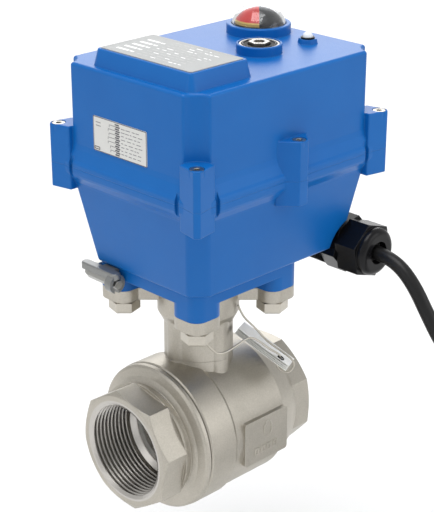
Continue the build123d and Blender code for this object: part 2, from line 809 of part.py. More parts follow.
def make_circuit_board():
    """The control board, standing on edge at the inlet end, with its parts."""
    board_x = stem_x - 34.4
    with BuildPart() as board:
        with BuildSketch(Plane.XY.offset(111)):
            with Locations((board_x, 0)):
                Rectangle(1.6, 62)
        extrude(amount=52)
        for y, z, size_y, size_z, depth in ((-20, 124, 15, 12, 8), (-20, 144, 12, 16, 6), (2, 150, 14, 10, 5),
                                            (20, 152, 10, 8, 7)):
            with BuildSketch(Plane(origin=(board_x + 0.8, y, z), x_dir=(0, 1, 0), z_dir=(1, 0, 0))):
                Rectangle(size_y, size_z)
            extrude(amount=depth)
    return board.part


def make_terminal_block():
    """A six-way screw terminal on the board."""
    board_face_x = stem_x - 33.6
    with BuildPart() as block:
        with BuildSketch(Plane(origin=(board_face_x, 15, 136), x_dir=(0, 1, 0), z_dir=(1, 0, 0))):
            Rectangle(30, 10)
        extrude(amount=8)
        for step in range(6):
            with BuildSketch(Plane.XY.offset(141)):
                with Locations((board_face_x + 4, 15 - 12.5 + 5 * step)):
                    Circle(1.9)
            extrude(amount=-3, mode=Mode.SUBTRACT)
    return block.part


def dome(radius, low_z, straight, height):
    """A spherical cap on a short upright wall, standing at the origin."""
    rise = height - straight
    sphere_radius = (radius**2 + rise**2) / (2 * rise)
    middle = radius / 2
    with BuildPart() as solid:
        with BuildSketch(Plane.XZ):
            with BuildLine():
                Polyline((0, low_z + height), (0, low_z), (radius, low_z), (radius, low_z + straight))
                ThreePointArc((radius, low_z + straight),
                              (middle, low_z + height - sphere_radius + sqrt(sphere_radius**2 - middle**2)),
                              (0, low_z + height))
            make_face()
        revolve(axis=Axis.Z)
    return solid.part


def make_indicator_half(towards):
    """Half of the position drum under the dome; towards is the direction it faces, in degrees."""
    with BuildPart() as half:
        add(dome(11.2, 184.2, 1.2, 7.2))
        with BuildSketch(Plane.XY.offset(180)):
            with Locations(Rot(0, 0, towards) * Pos(-20, 0, 0)):
                Rectangle(40, 40)
        extrude(amount=20, mode=Mode.SUBTRACT)
    centre = shaft_spot(indicator_at)
    return Pos(centre[0], centre[1], 0) * half.part


def make_dome_lens():
    """The clear dome over the indicator, with its foot in the collar."""
    foot_z = 182.4
    with BuildPart() as lens:
        add(dome(13.2, foot_z, 1.4, 11.0))
        add(dome(12.0, foot_z - 0.01, 1.2, 9.8), mode=Mode.SUBTRACT)
    centre = shaft_spot(indicator_at)
    return Pos(centre[0], centre[1], 0) * lens.part


def make_override_shaft():
    """The hand drive: a shaft from the gears up to a hexagon head with a socket in it."""
    centre = shaft_spot(override_at)
    with BuildPart() as shaft:
        add(upright_ring(centre, 88.3, 182.4, 3.5))
        add(upright_hexagon(centre, 182.0, 184.6, 8.6, turn=15))
        add(upright_hexagon(centre, 182.2, 185, 5.0, turn=15), mode=Mode.SUBTRACT)
    return shaft.part


# ---------------------------------------------------------------- outside pieces

def make_hex_key():
    """The L-shaped key: short leg along Y in its clip, long leg along X behind the housing."""
    start = (key_x, key_start_y, key_z)
    corner = (key_x, key_long_leg_y, key_z)
    end = (key_x + 62.0, key_long_leg_y, key_z)
    with BuildPart() as key:
        with BuildLine() as path:
            FilletPolyline(start, corner, end, radius=5.0)
        with BuildSketch(Plane(origin=start, x_dir=(1, 0, 0), z_dir=(0, 1, 0))):
            RegularPolygon(key_radius, 6, major_radius=False)
        sweep(path=path.wires()[0])
    return key.part


def make_key_holder():
    """The clip beside the mounting pad: a long rail above the key and one open ring round its end."""
    rail_height = 3.3
    rail_low = key_z + 2.05
    rail_length = 25.0
    ring_outer = 4.6
    ring_inner = key_radius + 0.6
    pad_side_x = stem_x - bolt_offset - ear_width / 2
    with BuildPart() as holder:
        with BuildSketch(Plane.XY.offset(rail_low)):
            with Locations((key_x, key_start_y + rail_length / 2)):
                SlotOverall(rail_length, 4.8, rotation=90)
            with Locations(((key_x + pad_side_x) / 2, key_start_y + 9.5)):
                Rectangle(pad_side_x - key_x, 9.0)
        extrude(amount=rail_height)
        fillet(holder.faces().sort_by(Axis.Z)[-1].edges(), 0.8)
        with BuildSketch(Plane.XZ.offset(-key_start_y - 1.0)):
            with Locations((key_x, key_z)):
                Circle(ring_outer)
        extrude(amount=-4.0)
        with BuildSketch(Plane.XZ.offset(-key_start_y)):
            with Locations((key_x, key_z)):
                Circle(ring_inner)
            with Locations((key_x - 0.6, key_z - 3.0)):
                Rectangle(2.4, 6.0)
        extrude(amount=-30, mode=Mode.SUBTRACT)
    return holder.part


def make_gland_body():
    """The gland's threaded shank through the wall, its collar and hexagon, bored for the cable."""
    wall_y = -26.5
    with BuildPart() as body:
        with BuildSketch(Plane.XZ.offset(12.5)):
            with Locations((gland_x, gland_z)):
                Circle(gland_thread_radius)
        extrude(amount=-wall_y - 12.5)
        with BuildSketch(Plane.XZ.offset(-wall_y)):
            with Locations((gland_x, gland_z)):
                RegularPolygon(12.2, 6, major_radius=False, rotation=12)
        extrude(amount=11.5)
        with BuildSketch(Plane.XZ.offset(38.0)):
            with Locations((gland_x, gland_z)):
                Circle(9.6)
        extrude(amount=4.0)
        with BuildSketch(Plane.XZ.offset(12)):
            with Locations((gland_x, gland_z)):
                Circle(cable_radius + 0.6)
        extrude(amount=31, mode=Mode.SUBTRACT)
    return body.part


def make_gland_nut():
    """The domed cap nut that squeezes the seal on the cable."""
    cap_start = 50.4
    with BuildPart() as nut:
        with BuildSketch(Plane.XZ.offset(38.3)):
            with Locations((gland_x, gland_z)):
                RegularPolygon(12.2, 6, major_radius=False, rotation=42)
        extrude(amount=cap_start - 38.3)
        with BuildSketch(Plane.XZ.offset(cap_start)):
            with Locations((gland_x, gland_z)):
                Circle(11.7)
        extrude(amount=-gland_end_y - cap_start)
        fillet(nut.faces().sort_by(Axis.Y)[0].edges(), 3.2)
        with BuildSketch(Plane.XZ.offset(38)):
            with Locations((gland_x, gland_z)):
                Circle(9.75)
        extrude(amount=4.4, mode=Mode.SUBTRACT)
        with BuildSketch(Plane.XZ.offset(38)):
            with Locations((gland_x, gland_z)):
                Circle(5.6)
        extrude(amount=20, mode=Mode.SUBTRACT)
    return nut.part


def make_gland_seal():
    """The rubber ring between nut and cable."""
    with BuildPart() as seal:
        with BuildSketch(Plane.XZ.offset(43.2)):
            with Locations((gland_x, gland_z)):
                Circle(5.5)
                Circle(cable_radius, mode=Mode.SUBTRACT)
        extrude(amount=7.5)
    return seal.part


# ---------------------------------------------------------------- cords

def corner_radii(points, largest=1000.0):
    """Each corner's arc: 0.45 of its shorter run over the tangent of half the turn."""
    radii = []
    for before, corner, after in zip(points, points[1:], points[2:]):
        first = Vector(*corner) - Vector(*before)
        second = Vector(*after) - Vector(*corner)
        half_turn = radians(first.get_angle(second)) / 2
        radii.append(min(largest, 0.45 * min(first.length, second.length) / tan(half_turn)))
    return radii


def make_cord(name, points, radius):
    """A round cord along straight runs and tangent arcs; prints its radii and checks its volume."""
    radii = corner_radii(points)
    with BuildPart() as cord:
        with BuildLine() as path:
            FilletPolyline(*points, radius=radii)
        centreline = path.wires()[0]
        with BuildSketch(Plane(origin=points[0], z_dir=Vector(*points[1]) - Vector(*points[0]))):
            Circle(radius)
        sweep(path=centreline)
    length = centreline.length
    print(f"{name}: length {length:.1f}, radii", [round(r, 1) for r in radii],
          f"volume ratio {cord.part.volume / (pi * radius**2 * length):.4f}")
    return cord.part


# Cable route from inside the gland, drooping under its weight, to the top of the hank
cable_route = [(gland_x, -43.5, gland_z), (gland_x, -57.0, gland_z), (gland_x + 0.4, -67.5, 79.8),
               (gland_x + 0.8, -76.0, 72.0), (gland_x + 0.9, -83.5, 61.5), (gland_x + 0.6, -92.5, 50.0),
               (gland_x + 0.2, -103.0, 41.5), (gland_x - 0.6, -111.5, 30.0), (gland_x - 1.0, -114.2, 14.0)]
# Spare length below, wound one and a half turns round two bends and tied: outer sizes
hank_width = 14 * cable_radius
hank_low_x = cable_route[-1][0] - cable_radius
hank_front_y = cable_route[-1][1] + cable_radius
hank_top = 4.0
hank_bottom = -102.6
cable_end_z = 8.0


def make_cable_hank():
    """The cable's spare length as one solid: the turns, the run down into them and the run to the end."""
    bend_radius = hank_width / 2
    layer = 2 * cable_radius
    middle_z = (hank_top + hank_bottom) / 2
    with BuildPart() as hank:
        with BuildSketch(Plane.XZ.offset(-hank_front_y)):
            with Locations((hank_low_x + bend_radius, middle_z)):
                SlotOverall(hank_top - hank_bottom, hank_width, rotation=90)
        extrude(amount=2 * layer)
        fillet(hank.edges(), 3.0)
        with BuildSketch(Plane.XZ.offset(-hank_front_y)):
            with Locations((hank_low_x + cable_radius, (cable_route[-1][2] + middle_z) / 2)):
                Rectangle(layer, cable_route[-1][2] - middle_z)
        extrude(amount=layer)
        with BuildSketch(Plane.XZ.offset(-hank_front_y + layer)):
            with Locations((hank_low_x + hank_width - cable_radius, (cable_end_z + middle_z) / 2)):
                Rectangle(layer, cable_end_z - middle_z)
        extrude(amount=layer)
    return hank.part


def make_cable_tie():
    """A strap round the middle of the hank."""
    gap = 0.3
    middle_z = (hank_top + hank_bottom) / 2 - 12
    strap_length = hank_width + 2 * gap
    strap_depth = 4 * cable_radius + 2 * gap
    with BuildPart() as tie:
        with BuildSketch(Plane.XY.offset(middle_z)):
            with Locations((hank_low_x + hank_width / 2, hank_front_y - 2 * cable_radius)):
                RectangleRounded(strap_length + 2.4, strap_depth + 2.4, 3.0)
                RectangleRounded(strap_length, strap_depth, 1.8, mode=Mode.SUBTRACT)
        extrude(amount=4.8)
    return tie.part


def make_cable_cores():
    """The bare far end: three insulated cores that stand out of the sheath."""
    centre_x = hank_low_x + hank_width - cable_radius
    centre_y = hank_front_y - 3 * cable_radius
    cores = []
    for angle in (90, 210, 330):
        place = (centre_x + 1.35 * cos(radians(angle)), centre_y + 1.35 * sin(radians(angle)))
        cores.append(upright_ring(place, cable_end_z, cable_end_z + 14.0, 1.1))
    return Compound(children=cores)


# The instruction tag: centre, direction of its long side and normal of its lower leaf
tag_centre = Vector(stem_x + 20.15, -24.4, 39.0)
tag_along = Vector(0.3576, -0.7784, -0.5159)
tag_normal = Vector(0.2980, -0.4284, 0.8530)
tag_across = tag_normal.cross(tag_along)
tag_length = 30.0
tag_width = 15.0
tag_hole = (9.5, -4.6)


def by_tag(along, across, height):
    """A place given along, across and above the tag's lower leaf."""
    return tuple(tag_centre + tag_along * along + tag_across * across + tag_normal * height)


# Wire that carries the tag: from the front bolt, through the hole, round the tag's end, up to the hub
tag_wire_route = [(stem_x - 20.5, -23.5, 57.4), (stem_x - 18.0, -27.5, 51.0), (stem_x - 13.2, -29.2, 48.3),
                  (stem_x - 5.0, -30.2, 50.1), (stem_x + 2.6, -31.2, 53.0), (stem_x + 7.9, -32.6, 49.1),
                  (stem_x + 14.0, -34.6, 43.0), by_tag(9.5, -4.6, 4.2), by_tag(9.5, -4.6, -2.6),
                  by_tag(17.0, -3.0, -2.6), by_tag(17.0, -1.4, 4.0), by_tag(8.2, -1.9, 4.7),
                  by_tag(-0.5, -2.2, 4.2), (stem_x + 16.4, -22.0, 49.6), (stem_x + 10.0, -19.4, 56.8),
                  (stem_x + 8.0, -18.6, 63.0)]
tag_wire_radius = 0.5


def make_instruction_tag():
    """A folded card booklet on the wire, its upper leaf a little open on the side that faces outwards."""
    leaves = []
    for opening, lift in ((0, 0.0), (-8, 0.6)):
        fold = Plane(origin=by_tag(0, tag_width / 2, lift), x_dir=tag_along, z_dir=tag_normal)
        with BuildPart() as leaf:
            with BuildSketch(fold.rotated((opening, 0, 0))):
                with Locations((0, -tag_width / 2)):
                    Rectangle(tag_length, tag_width)
                with Locations((tag_hole[0], tag_hole[1] - tag_width / 2)):
                    Circle(1.3, mode=Mode.SUBTRACT)
            extrude(amount=0.4)
        leaves.append(leaf.part)
    return leaves


# ---------------------------------------------------------------- build

stem_centre = (stem_x, 0)

casting = make_valve_casting()
with BuildPart() as valve_body:
    add(casting)
    split(bisect_by=Plane.XY.offset(neck_foot), keep=Keep.BOTTOM)
    add(make_cast_marks())
save(valve_body.part, "valve_body")
with BuildPart() as valve_neck:
    add(casting)
    split(bisect_by=Plane.XY.offset(neck_foot), keep=Keep.TOP)
save(valve_neck.part, "valve_neck")
save(make_end_cap(), "end_cap")
save(pipe_ring(35.0, 36.0, 31.9, 29.2), "body_gasket")
save(make_ball(), "ball")
save(make_seat(-1), "seat_inlet")
save(make_seat(1), "seat_outlet")
save(make_stem(), "stem")
save(upright_ring(stem_centre, 32.5, 34.0, 10.9, stem_radius + running_gap), "thrust_washer")
save(upright_ring(stem_centre, 47.0, 57.0, 11.95, stem_radius + running_gap), "stem_packing")
save(upright_ring(stem_centre, 57.0, 62.2, 11.9, stem_radius + running_gap), "packing_gland")
save(make_disc_springs(), "disc_springs")
save(upright_hexagon(stem_centre, 66.2, 70.8, 22.0, stem_radius, turn=10), "stem_nut")
save(make_mounting_bolts(), "mounting_bolts")
washers = [upright_ring(place, pad_top - ear_thickness - 1.9, pad_top - ear_thickness, 6.6, bolt_radius + 0.1)
           for place in bolt_places()]
save(Compound(children=washers), "lock_washers")

save(make_base_housing(), "base_housing")
save(make_top_cover(), "top_cover")
save(gasket_ring(seam_z - 1.0, seam_z, 1.8), "cover_gasket")
save(make_cover_screws(), "cover_screws")

output_phase = 0.0
idler_phase = phase_in_mesh(output_teeth, (0, 0), output_phase, idler_small_teeth, idler_at)
motor_phase = phase_in_mesh(idler_large_teeth, idler_at, idler_phase, motor_teeth, motor_at)
override_phase = phase_in_mesh(output_teeth, (0, 0), output_phase, override_teeth, override_at)
relay_phase = phase_in_mesh(indicator_teeth, (0, 0), output_phase, relay_teeth, relay_at)
indicator_phase = phase_in_mesh(relay_teeth, relay_at, relay_phase, indicator_teeth, indicator_at)

save(make_drive_sleeve(), "drive_sleeve")
save(upright_ring(stem_centre, 73.0, 92.0, 15.0, 13.0 + running_gap), "sleeve_bush")
save(gear(output_teeth, stem_centre, output_phase, 94.0, 102.0, 9.0), "output_gear")
save(make_gear_plate(), "gear_plate")
save(make_plate_posts(), "plate_posts")
idler_spot = shaft_spot(idler_at)
with BuildPart() as idler_gear:
    add(gear(idler_small_teeth, idler_spot, idler_phase, 93.2, 103.6, 2.5 + running_gap))
    add(gear(idler_large_teeth, idler_spot, idler_phase, 103.5, 107.2, 2.5 + running_gap))
save(idler_gear.part, "idler_gear")
save(upright_ring(idler_spot, 88.0, 110.0, 2.5), "idler_pin")
save(make_gear_motor(), "gear_motor")
motor_spot = shaft_spot(motor_at)
with BuildPart() as motor_pinion:
    add(gear(motor_teeth, motor_spot, motor_phase, 103.3, 107.4))
    add(upright_ring(motor_spot, 107.0, 121.0, 2.5))
save(motor_pinion.part, "motor_pinion")
save(make_cam(114.0, 150), "cam_open")
save(make_cam(122.0, 240), "cam_closed")
save(make_limit_switches(), "limit_switches")
save(make_circuit_board(), "circuit_board")
save(upright_ring((stem_x - 8.0, 26.0), 110.0, 131.0, 7.5), "run_capacitor")
save(make_terminal_block(), "terminal_block")
save(gear(indicator_teeth, stem_centre, output_phase, 151.0, 155.0, 6.0), "camshaft_gear")
relay_spot = shaft_spot(relay_at)
save(gear(relay_teeth, relay_spot, relay_phase, 151.0, 155.0, 2.5 + running_gap), "relay_gear")
with BuildPart() as relay_post:
    add(upright_ring(relay_spot, 110.0, 150.5, 3.6))
    add(upright_ring(relay_spot, 150.0, 158.0, 2.5))
save(relay_post.part, "relay_post")
indicator_spot = shaft_spot(indicator_at)
with BuildPart() as indicator_gear:
    add(gear(indicator_teeth, indicator_spot, indicator_phase, 151.0, 155.0))
    add(upright_ring(indicator_spot, 154.5, 182.6, 4.0))
    add(upright_ring(indicator_spot, 182.0, 184.2, 11.2))
save(indicator_gear.part, "indicator_gear")
save(make_indicator_half(135), "indicator_red")
save(make_indicator_half(315), "indicator_black")
save(make_dome_lens(), "dome_lens")
save(upright_ring(indicator_spot, 181.2, 182.4, 13.2, 11.6), "dome_seal")
override_spot = shaft_spot(override_at)
save(make_override_shaft(), "override_shaft")
save(gear(override_teeth, override_spot, override_phase, 94.0, 102.0, 3.5), "override_gear")
save(upright_ring(override_spot, 181.0, 183.4, 9.45, 5.4), "override_seal")
lamp_spot = (stem_x + 56.0, -15.5)
with BuildPart() as lamp_lens:
    add(upright_ring(lamp_spot, 172.0, 182.6, 2.4))
    with Locations((*lamp_spot, 182.6)):
        Sphere(2.4)
save(lamp_lens.part, "lamp_lens")
with BuildPart() as top_label:
    with BuildSketch(Plane.XY.offset(plateau_top)):
        with Locations((stem_x - 21.0, -5.8)):
            RectangleRounded(31.6, 57.2, 1.2)
    extrude(amount=0.3)
save(top_label.part, "top_label")
with BuildPart() as side_label:
    label_plane = Plane(origin=(housing_x - wall_length / 2, 3.7, 150.6), x_dir=(0, -1, 0), z_dir=(-1, 0, 0))
    with BuildSketch(label_plane):
        RectangleRounded(35.0, 16.0, 0.8)
    extrude(amount=0.3)
save(side_label.part, "side_label")

save(make_hex_key(), "hex_key")
save(make_key_holder(), "key_holder")
save(make_gland_body(), "gland_body")
save(make_gland_nut(), "gland_nut")
save(make_gland_seal(), "gland_seal")
with BuildPart() as gland_locknut:
    with BuildSketch(Plane.XZ.offset(-entry_wall_y)):
        with Locations((gland_x, gland_z)):
            RegularPolygon(13.0, 6, major_radius=False, rotation=30)
            Circle(gland_thread_radius + running_gap, mode=Mode.SUBTRACT)
    extrude(amount=6.6)
save(gland_locknut.part, "gland_locknut")
save(make_cord("power_cable", cable_route, cable_radius), "power_cable")
save(make_cable_hank(), "cable_hank")
save(make_cable_tie(), "cable_tie")
save(make_cable_cores(), "cable_cores")
save(Compound(children=make_instruction_tag()), "instruction_tag")
save(make_cord("tag_wire", tag_wire_route, tag_wire_radius), "tag_wire")
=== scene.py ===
import json
from math import cos, pi, radians, sin, tan
from random import Random

import bmesh
import bpy
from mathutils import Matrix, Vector


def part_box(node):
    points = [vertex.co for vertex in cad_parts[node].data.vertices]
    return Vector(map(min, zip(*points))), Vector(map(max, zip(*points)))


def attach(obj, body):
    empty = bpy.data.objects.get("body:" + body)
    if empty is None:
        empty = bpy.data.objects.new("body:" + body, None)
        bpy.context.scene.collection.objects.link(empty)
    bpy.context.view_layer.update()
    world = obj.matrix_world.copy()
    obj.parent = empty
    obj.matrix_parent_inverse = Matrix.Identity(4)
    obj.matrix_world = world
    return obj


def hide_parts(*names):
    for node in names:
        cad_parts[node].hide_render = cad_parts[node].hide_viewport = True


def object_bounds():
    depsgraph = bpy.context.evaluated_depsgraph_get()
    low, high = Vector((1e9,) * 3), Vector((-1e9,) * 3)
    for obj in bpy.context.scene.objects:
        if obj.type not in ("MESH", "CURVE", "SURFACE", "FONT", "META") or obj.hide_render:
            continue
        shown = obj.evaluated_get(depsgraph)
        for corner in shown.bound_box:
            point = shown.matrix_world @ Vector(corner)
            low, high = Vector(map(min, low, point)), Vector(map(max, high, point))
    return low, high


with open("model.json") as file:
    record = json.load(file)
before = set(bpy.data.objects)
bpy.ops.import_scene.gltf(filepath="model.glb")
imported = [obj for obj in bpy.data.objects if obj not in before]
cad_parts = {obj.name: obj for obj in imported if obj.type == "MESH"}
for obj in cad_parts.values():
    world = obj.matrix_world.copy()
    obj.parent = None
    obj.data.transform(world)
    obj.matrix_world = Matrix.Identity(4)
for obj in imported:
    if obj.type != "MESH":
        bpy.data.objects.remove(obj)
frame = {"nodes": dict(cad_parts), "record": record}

CAD_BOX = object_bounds()
NODES = frame["nodes"]
MM = 0.001
STEM_X = 49.25 * MM
PORT_WALL = 25.2 * MM

# ---------------------------------------------------------------- camera and studio

CAMERA_AIM = Vector((76.8, 15.2, 72.2)) * MM
CAMERA_AZIMUTH = radians(-44.75)
CAMERA_ELEVATION = radians(22.7)
CAMERA_DISTANCE = 0.7279
CAMERA_LENS = 104.3


def make_camera():
    """The camera at the photograph's angle, aimed without shift."""
    level = cos(CAMERA_ELEVATION)
    forward = Vector((-sin(CAMERA_AZIMUTH) * level, cos(CAMERA_AZIMUTH) * level, -sin(CAMERA_ELEVATION)))
    data = bpy.data.cameras.new("camera")
    data.lens = CAMERA_LENS
    data.sensor_width = 36.0
    data.clip_start = 0.01
    camera = bpy.data.objects.new("camera", data)
    camera.location = CAMERA_AIM - forward * CAMERA_DISTANCE
    camera.rotation_euler = forward.to_track_quat("-Z", "Y").to_euler()
    bpy.context.collection.objects.link(camera)
    bpy.context.scene.camera = camera


def make_light(name, place, size, power):
    """A square soft light that faces the object."""
    data = bpy.data.lights.new(name, "AREA")
    data.shape = "SQUARE"
    data.size = size
    data.energy = power
    light = bpy.data.objects.new(name, data)
    light.location = place
    aim = Vector((STEM_X, 0.0, 0.08)) - Vector(place)
    light.rotation_euler = aim.to_track_quat("-Z", "Y").to_euler()
    bpy.context.collection.objects.link(light)


def make_studio():
    """White surroundings, soft lights and a pale floor."""
    world = bpy.data.worlds.new("studio")
    world.use_nodes = True
    background = world.node_tree.nodes["Background"]
    background.inputs["Color"].default_value = (1.0, 1.0, 1.0, 1.0)
    background.inputs["Strength"].default_value = 0.72
    bpy.context.scene.world = world
    bpy.context.scene.view_settings.view_transform = "Standard"
    make_light("top_light", (-0.15, -0.1, 1.2), 0.8, 8.0)
    make_light("left_light", (-1.1, 0.1, 0.5), 0.6, 1.0)
    make_light("right_light", (0.6, -1.1, 0.45), 0.8, 2.5)
    make_light("back_light", (1.45, 1.35, 0.95), 1.5, 13.0)
    bm = bmesh.new()
    bmesh.ops.create_grid(bm, x_segments=1, y_segments=1, size=6.0)
    floor = finish_mesh("floor", bm)
    floor.location = (0, 0, CAD_BOX[0][2] - 2 * MM)
    material, tree, shader = new_material("floor", (0.93, 0.93, 0.93), 0.7)
    floor.data.materials.append(material)


def finish_mesh(name, bm, smooth=False):
    """A linked object from a bmesh."""
    for face in bm.faces:
        face.smooth = smooth
    mesh = bpy.data.meshes.new(name)
    bm.to_mesh(mesh)
    bm.free()
    piece = bpy.data.objects.new(name, mesh)
    bpy.context.collection.objects.link(piece)
    return piece


# ---------------------------------------------------------------- shader helpers

def new_material(name, colour, roughness, metallic=0.0):
    """A principled material; returns the material, its node tree and its shader."""
    material = bpy.data.materials.new(name)
    material.use_nodes = True
    tree = material.node_tree
    shader = tree.nodes["Principled BSDF"]
    shader.inputs["Base Color"].default_value = (*colour, 1.0)
    shader.inputs["Roughness"].default_value = roughness
    shader.inputs["Metallic"].default_value = metallic
    return material, tree, shader


def add_node(tree, kind, inputs=None, **settings):
    """A node with settings and inputs; an input value may be a socket to link from."""
    node = tree.nodes.new(kind)
    for key, value in settings.items():
        setattr(node, key, value)
    for key, value in (inputs or {}).items():
        if isinstance(value, bpy.types.NodeSocket):
            tree.links.new(value, node.inputs[key])
        else:
            node.inputs[key].default_value = value
    return node


def place_of(tree):
    """The surface point in the object's own frame, in metres."""
    return add_node(tree, "ShaderNodeTexCoord").outputs["Object"]


def noise(tree, scale, detail=3.0, roughness=0.55, stretch=(1.0, 1.0, 1.0)):
    """Noise with a given number of cells to the metre."""
    mapped = add_node(tree, "ShaderNodeMapping", {"Vector": place_of(tree), "Scale": stretch})
    settings = {"Vector": mapped.outputs["Vector"], "Scale": scale, "Detail": detail, "Roughness": roughness}
    return add_node(tree, "ShaderNodeTexNoise", settings).outputs["Fac"]


def spread(tree, value, low, high, start=0.0, end=1.0):
    """Maps value from start..end to low..high, held at the ends."""
    settings = {"Value": value, "From Min": start, "From Max": end, "To Min": low, "To Max": high}
    return add_node(tree, "ShaderNodeMapRange", settings).outputs["Result"]


def arithmetic(tree, operation, first, second=0.0):
    return add_node(tree, "ShaderNodeMath", {0: first, 1: second}, operation=operation).outputs["Value"]


def blend_colours(tree, factor, first, second):
    """Colour first where factor is 0 and second where it is 1; either may be a socket."""
    node = tree.nodes.new("ShaderNodeMix")
    node.data_type = "RGBA"
    for index, value in ((0, factor), (6, first), (7, second)):
        if isinstance(value, bpy.types.NodeSocket):
            tree.links.new(value, node.inputs[index])
        elif index:
            node.inputs[index].default_value = (*value, 1.0)
        else:
            node.inputs[index].default_value = value
    return node.outputs[2]


def set_bump(tree, shader, layers, soft_edge=0.0):
    """Bump from (height, distance) layers, over edges rounded by soft_edge metres."""
    normal = None
    if soft_edge:
        normal = add_node(tree, "ShaderNodeBevel", {"Radius": soft_edge}, samples=6).outputs["Normal"]
    for height, distance in layers:
        inputs = {"Height": height, "Distance": distance, "Strength": 1.0}
        if normal:
            inputs["Normal"] = normal
        normal = add_node(tree, "ShaderNodeBump", inputs).outputs["Normal"]
    if normal:
        tree.links.new(normal, shader.inputs["Normal"])


def grained(name, colour, roughness, metallic=0.0, tint=0.12, grain=900.0, depth=0.02, soft_edge=0.0,
            stretch=(1.0, 1.0, 1.0), specular=0.5):
    """A material with a slightly uneven colour, an uneven gloss and a fine grain."""
    material, tree, shader = new_material(name, colour, roughness, metallic)
    shader.inputs["Specular IOR Level"].default_value = specular
    broad = noise(tree, grain / 18, 4.0)
    fine = noise(tree, grain, 3.0, 0.6, stretch)
    darker = tuple(c * (1 - tint) for c in colour)
    lighter = tuple(min(1.0, c * (1 + tint)) for c in colour)
    mixed = arithmetic(tree, "ADD", arithmetic(tree, "MULTIPLY", broad, 0.6),
                       arithmetic(tree, "MULTIPLY", fine, 0.4))
    tree.links.new(blend_colours(tree, spread(tree, mixed, 0, 1, 0.3, 0.7), darker, lighter),
                   shader.inputs["Base Color"])
    tree.links.new(spread(tree, mixed, roughness * 0.85, roughness * 1.15, 0.3, 0.7),
                   shader.inputs["Roughness"])
    set_bump(tree, shader, [(fine, depth * MM)], soft_edge)
    return material


# ---------------------------------------------------------------- materials

def cast_steel(name):
    """Blasted stainless casting, machined bright inside the ports."""
    material, tree, shader = new_material(name, (0.36, 0.335, 0.29), 0.5, 1.0)
    patches = noise(tree, 45, 5.0, 0.6)
    grain = noise(tree, 1500, 3.0, 0.65)
    skin = noise(tree, 330, 3.0, 0.5)
    mixed = arithmetic(tree, "ADD", arithmetic(tree, "MULTIPLY", patches, 0.5),
                       arithmetic(tree, "MULTIPLY", grain, 0.5))
    cast = blend_colours(tree, spread(tree, mixed, 0, 1, 0.3, 0.7), (0.38, 0.358, 0.310),
                         (0.53, 0.498, 0.440))
    place = add_node(tree, "ShaderNodeSeparateXYZ", {"Vector": place_of(tree)})
    squares = [arithmetic(tree, "MULTIPLY", place.outputs[axis], place.outputs[axis]) for axis in (1, 2)]
    radius = arithmetic(tree, "SQRT", arithmetic(tree, "ADD", *squares))
    machined = spread(tree, radius, 1, 0, PORT_WALL - 0.3 * MM, PORT_WALL)
    colour = blend_colours(tree, machined, cast, (0.50, 0.48, 0.45))
    tree.links.new(colour, shader.inputs["Base Color"])
    rough = spread(tree, machined, 0.42, 0.28)
    tree.links.new(rough, shader.inputs["Roughness"])
    set_bump(tree, shader, [(skin, 0.04 * MM), (grain, 0.014 * MM)], 0.5 * MM)
    return material


def blue_shell():
    """Satin blue moulding with a very fine texture."""
    material, tree, shader = new_material("blue_shell", (0.003, 0.118, 0.415), 0.33)
    shader.inputs["Specular IOR Level"].default_value = 0.24
    broad = noise(tree, 25, 3.0)
    fine = noise(tree, 1800, 2.0, 0.5)
    tree.links.new(blend_colours(tree, spread(tree, broad, 0, 1, 0.3, 0.7), (0.002, 0.112, 0.400),
                                 (0.004, 0.125, 0.430)), shader.inputs["Base Color"])
    tree.links.new(spread(tree, fine, 0.30, 0.37, 0.3, 0.7), shader.inputs["Roughness"])
    set_bump(tree, shader, [(broad, 0.15 * MM), (fine, 0.006 * MM)], 0.7 * MM)
    return material


def clear_plastic():
    material, tree, shader = new_material("clear_dome", (0.97, 0.985, 1.0), 0.03)
    shader.inputs["Transmission Weight"].default_value = 1.0
    shader.inputs["IOR"].default_value = 1.38
    haze = noise(tree, 200, 2.0)
    tree.links.new(spread(tree, haze, 0.01, 0.03, 0.3, 0.7), shader.inputs["Roughness"])
    return material


def drum_paint(name, colour, band, band_top):
    """Indicator plastic with a coloured band round its foot."""
    material, tree, shader = new_material(name, colour, 0.35)
    place = add_node(tree, "ShaderNodeSeparateXYZ", {"Vector": place_of(tree)})
    mask = spread(tree, place.outputs[2], 1, 0, band_top, band_top + 0.1 * MM)
    uneven = noise(tree, 500, 3.0)
    lighter = tuple(min(1.0, c * 1.15) for c in colour)
    body = blend_colours(tree, spread(tree, uneven, 0, 1, 0.3, 0.7), colour, lighter)
    tree.links.new(blend_colours(tree, mask, body, band), shader.inputs["Base Color"])
    set_bump(tree, shader, [(uneven, 0.01 * MM)])
    return material


